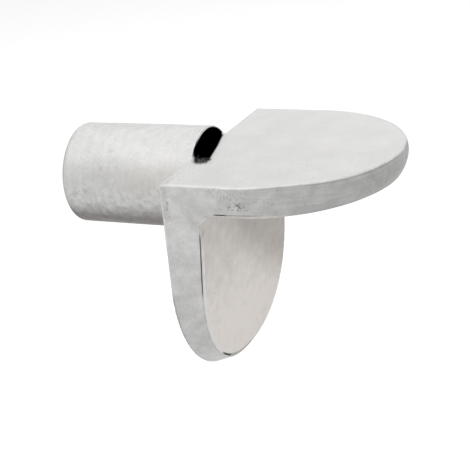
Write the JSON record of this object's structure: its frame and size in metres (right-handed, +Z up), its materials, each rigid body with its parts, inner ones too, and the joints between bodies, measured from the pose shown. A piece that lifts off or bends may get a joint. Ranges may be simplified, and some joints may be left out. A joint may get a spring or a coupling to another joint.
{
  "type": "shelf support pin",
  "caption": "One-piece cast metal shelf support: a round pin plugs into a hole in a cabinet's side, a round-nosed plate carries the shelf and a round-ended leg braces it.",
  "frame": {"origin": "on the pin's axis, in the plane of the bracket's flat back", "axes": "-X along the pin into the cabinet's side, +X the way the plate reaches out, +Z up, Y across the bracket"},
  "size_m": [0.0168, 0.0118, 0.0118],
  "materials": {
    "cast_metal": "pale matte metal, as cast and tumbled"
  },
  "bodies": {
    "root": {"shelf_support": "cast_metal"}
  },
  "joints": []
}
